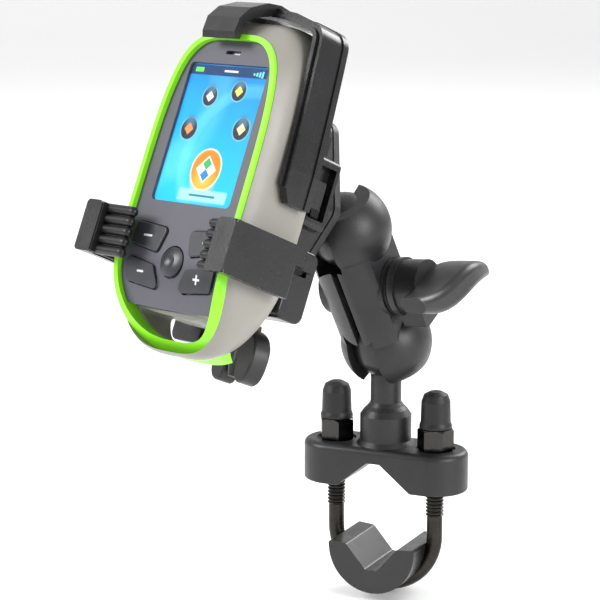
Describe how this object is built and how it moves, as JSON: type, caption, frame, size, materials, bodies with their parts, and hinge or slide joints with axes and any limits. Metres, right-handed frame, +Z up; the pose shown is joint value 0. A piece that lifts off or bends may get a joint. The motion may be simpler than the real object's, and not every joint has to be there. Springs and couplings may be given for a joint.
{
  "type": "handlebar device mount",
  "caption": "Handlebar U-bolt base with rubber ball, short double-socket arm with wing knob, diamond ball plate and spring-finger cradle gripping a handheld receiver.",
  "frame": {"origin": "centre of the largest bar the U-bolt base takes, midway between the legs", "axes": "+Y along the handlebar, +X from one U-bolt leg to the other, +Z up along the ball post"},
  "size_m": [0.1083, 0.1293, 0.2105],
  "materials": {
    "cast_black": "black powder coat",
    "bolt_black": "black zinc",
    "saddle_dark": "gloss black",
    "nut_black": "black chrome",
    "nylon": "nylon",
    "cap_rubber": "matt",
    "ball_rubber": "moulded",
    "steel": "zinc plated",
    "spring_steel": "bright",
    "black_plastic": "moulded",
    "knob_plastic": "satin moulded",
    "brass": "machined",
    "pad_rubber": "ribbed",
    "acetal": "acetal",
    "shell_grey": "satin warm grey",
    "rim_green": "lime soft-touch",
    "face_slate": "dark slate",
    "lens": "clear window",
    "screen": "colour picture",
    "membrane": "silicone",
    "board": "solder mask",
    "cell": "printed sleeve",
    "tray": "moulded",
    "ceramic": "fired",
    "key_dark": "keycap",
    "door_dark": "fine grain"
  },
  "bodies": {
    "base": {"base_casting": "cast_black"},
    "clamp_bow": {"u_bolt": "bolt_black", "saddle_block": "saddle_dark", "thread_caps": "cap_rubber"},
    "nut_left": {"lock_nut_left": "nut_black", "nut_ring_left": "nylon"},
    "nut_right": {"lock_nut_right": "nut_black", "nut_ring_right": "nylon"},
    "lower_jacket": {"lower_ball_jacket": "ball_rubber"},
    "arm": {"arm_half_far": "cast_black", "arm_bolt": "steel", "arm_spring": "spring_steel"},
    "arm_near": {"arm_half_near": "cast_black"},
    "knob": {"arm_knob": "knob_plastic", "knob_insert": "brass", "knob_washer": "steel"},
    "upper_jacket": {"upper_ball_jacket": "ball_rubber"},
    "head": {"ball_plate": "cast_black", "plate_screws": "bolt_black", "plate_nuts": "steel", "cradle_base": "black_plastic", "cradle_cover": "black_plastic", "cover_screws": "bolt_black"},
    "pinion": {"pinion": "acetal"},
    "jaw_left": {"jaw_left": "black_plastic", "jaw_pad_left": "pad_rubber"},
    "jaw_right": {"jaw_right": "black_plastic", "jaw_pad_right": "pad_rubber"},
    "lock_screw": {"clamp_screw": "steel", "clamp_knob": "knob_plastic"},
    "lock_shoe": {"lock_shoe": "brass"},
    "finger": {"finger_hook": "black_plastic"},
    "device": {"device_shell": "shell_grey", "device_rim": "rim_green", "device_face": "face_slate", "device_lens": "lens", "device_display": "screen", "key_membrane": "membrane", "circuit_board": "board", "battery_tray": "tray", "battery_cells": "cell", "battery_contacts": "steel", "battery_door": "door_dark", "patch_antenna": "ceramic", "speaker_disc": "steel", "case_screws": "steel"},
    "joystick": {"joystick": "key_dark"},
    "power_key": {"power_key": "key_dark"},
    "key_upper_left": {"key_upper_left": "key_dark"},
    "key_upper_right": {"key_upper_right": "key_dark"},
    "key_lower_left": {"key_lower_left": "key_dark"},
    "key_lower_right": {"key_lower_right": "key_dark"}
  },
  "joints": [
    {"name": "nut_left_spin", "type": "hinge", "parent": "base", "child": "nut_left", "pos_m": [-0.01875, 0, 0.026], "axis": [0, 0, 1], "range_deg": [-1441, 0]},
    {"name": "nut_right_spin", "type": "hinge", "parent": "base", "child": "nut_right", "pos_m": [0.01875, 0, 0.026], "axis": [0, 0, 1], "range_deg": [-1441, 0]},
    {"name": "u_bolt_draw", "type": "slide", "parent": "base", "child": "clamp_bow", "axis": [0, 0, 1], "range_m": [0, 0.00508]},
    {"name": "lower_swivel", "type": "hinge", "parent": "base", "child": "lower_jacket", "pos_m": [0, 0, 0.0593], "axis": [0, 0, 1], "continuous": true},
    {"name": "lower_tilt", "type": "hinge", "parent": "lower_jacket", "child": "arm", "pos_m": [0, 0, 0.0593], "axis": [0.9854, -0.1388, 0.0983], "range_deg": [-45, 25]},
    {"name": "knob_spin", "type": "hinge", "parent": "arm_near", "child": "knob", "pos_m": [-0.0035, -0.00996, 0.08029], "axis": [0.9854, -0.1388, 0.0983], "range_deg": [0, 541]},
    {"name": "arm_open", "type": "slide", "parent": "arm", "child": "arm_near", "axis": [0.9854, -0.1388, 0.0983], "range_m": [0, 0.00191]},
    {"name": "upper_tilt", "type": "hinge", "parent": "arm", "child": "upper_jacket", "pos_m": [-0.007, -0.01993, 0.10129], "axis": [0.9854, -0.1388, 0.0983], "range_deg": [-50, 35]},
    {"name": "head_swivel", "type": "hinge", "parent": "upper_jacket", "child": "head", "pos_m": [-0.007, -0.01993, 0.10129], "axis": [0.3368, 0.8447, -0.416], "continuous": true},
    {"name": "jaw_left_slide", "type": "slide", "parent": "head", "child": "jaw_left", "axis": [-0.9341, 0.3554, -0.0347], "range_m": [0, 0.012]},
    {"name": "jaw_right_slide", "type": "slide", "parent": "head", "child": "jaw_right", "axis": [0.9341, -0.3554, 0.0347], "range_m": [0, 0.012]},
    {"name": "pinion_spin", "type": "hinge", "parent": "head", "child": "pinion", "pos_m": [-0.02128, -0.05851, 0.09071], "axis": [0.3368, 0.8447, -0.416], "range_deg": [0, 215]},
    {"name": "lock_knob_spin", "type": "hinge", "parent": "head", "child": "lock_screw", "pos_m": [-0.02084, -0.06603, 0.07388], "axis": [0.1185, 0.4003, 0.9087], "range_deg": [0, 361]},
    {"name": "lock_shoe_slide", "type": "slide", "parent": "head", "child": "lock_shoe", "axis": [0.1185, 0.4003, 0.9087], "range_m": [-0.0007, 0]},
    {"name": "finger_slide", "type": "slide", "parent": "head", "child": "finger", "axis": [0.1185, 0.4003, 0.9087], "range_m": [0, 0.008]},
    {"name": "device_slide", "type": "slide", "parent": "head", "child": "device", "axis": [-0.1185, -0.4003, -0.9087], "range_m": [0, 0.04]},
    {"name": "joystick_press", "type": "slide", "parent": "device", "child": "joystick", "axis": [0.3368, 0.8447, -0.416], "range_m": [0, 0.0007], "stiffness_N_per_m": 700, "springref_m": -0.0005},
    {"name": "power_key_press", "type": "slide", "parent": "device", "child": "power_key", "axis": [0.9341, -0.3554, 0.0347], "range_m": [0, 0.0006], "stiffness_N_per_m": 700, "springref_m": -0.0005},
    {"name": "key_upper_left_press", "type": "slide", "parent": "device", "child": "key_upper_left", "axis": [0.3368, 0.8447, -0.416], "range_m": [0, 0.0007], "stiffness_N_per_m": 600, "springref_m": -0.0005},
    {"name": "key_upper_right_press", "type": "slide", "parent": "device", "child": "key_upper_right", "axis": [0.3368, 0.8447, -0.416], "range_m": [0, 0.0007], "stiffness_N_per_m": 600, "springref_m": -0.0005},
    {"name": "key_lower_left_press", "type": "slide", "parent": "device", "child": "key_lower_left", "axis": [0.3368, 0.8447, -0.416], "range_m": [0, 0.0007], "stiffness_N_per_m": 600, "springref_m": -0.0005},
    {"name": "key_lower_right_press", "type": "slide", "parent": "device", "child": "key_lower_right", "axis": [0.3368, 0.8447, -0.416], "range_m": [0, 0.0007], "stiffness_N_per_m": 600, "springref_m": -0.0005}
  ],
  "couplings": [
    {"joint": "nut_left_spin", "follows": "u_bolt_draw", "rad_per_m": -4947.4},
    {"joint": "nut_right_spin", "follows": "u_bolt_draw", "rad_per_m": -4947.4},
    {"joint": "knob_spin", "follows": "arm_open", "rad_per_m": 4947.4},
    {"joint": "jaw_right_slide", "follows": "jaw_left_slide", "ratio": 1},
    {"joint": "pinion_spin", "follows": "jaw_left_slide", "rad_per_m": 312.5},
    {"joint": "lock_knob_spin", "follows": "lock_shoe_slide", "rad_per_m": -8976}
  ]
}
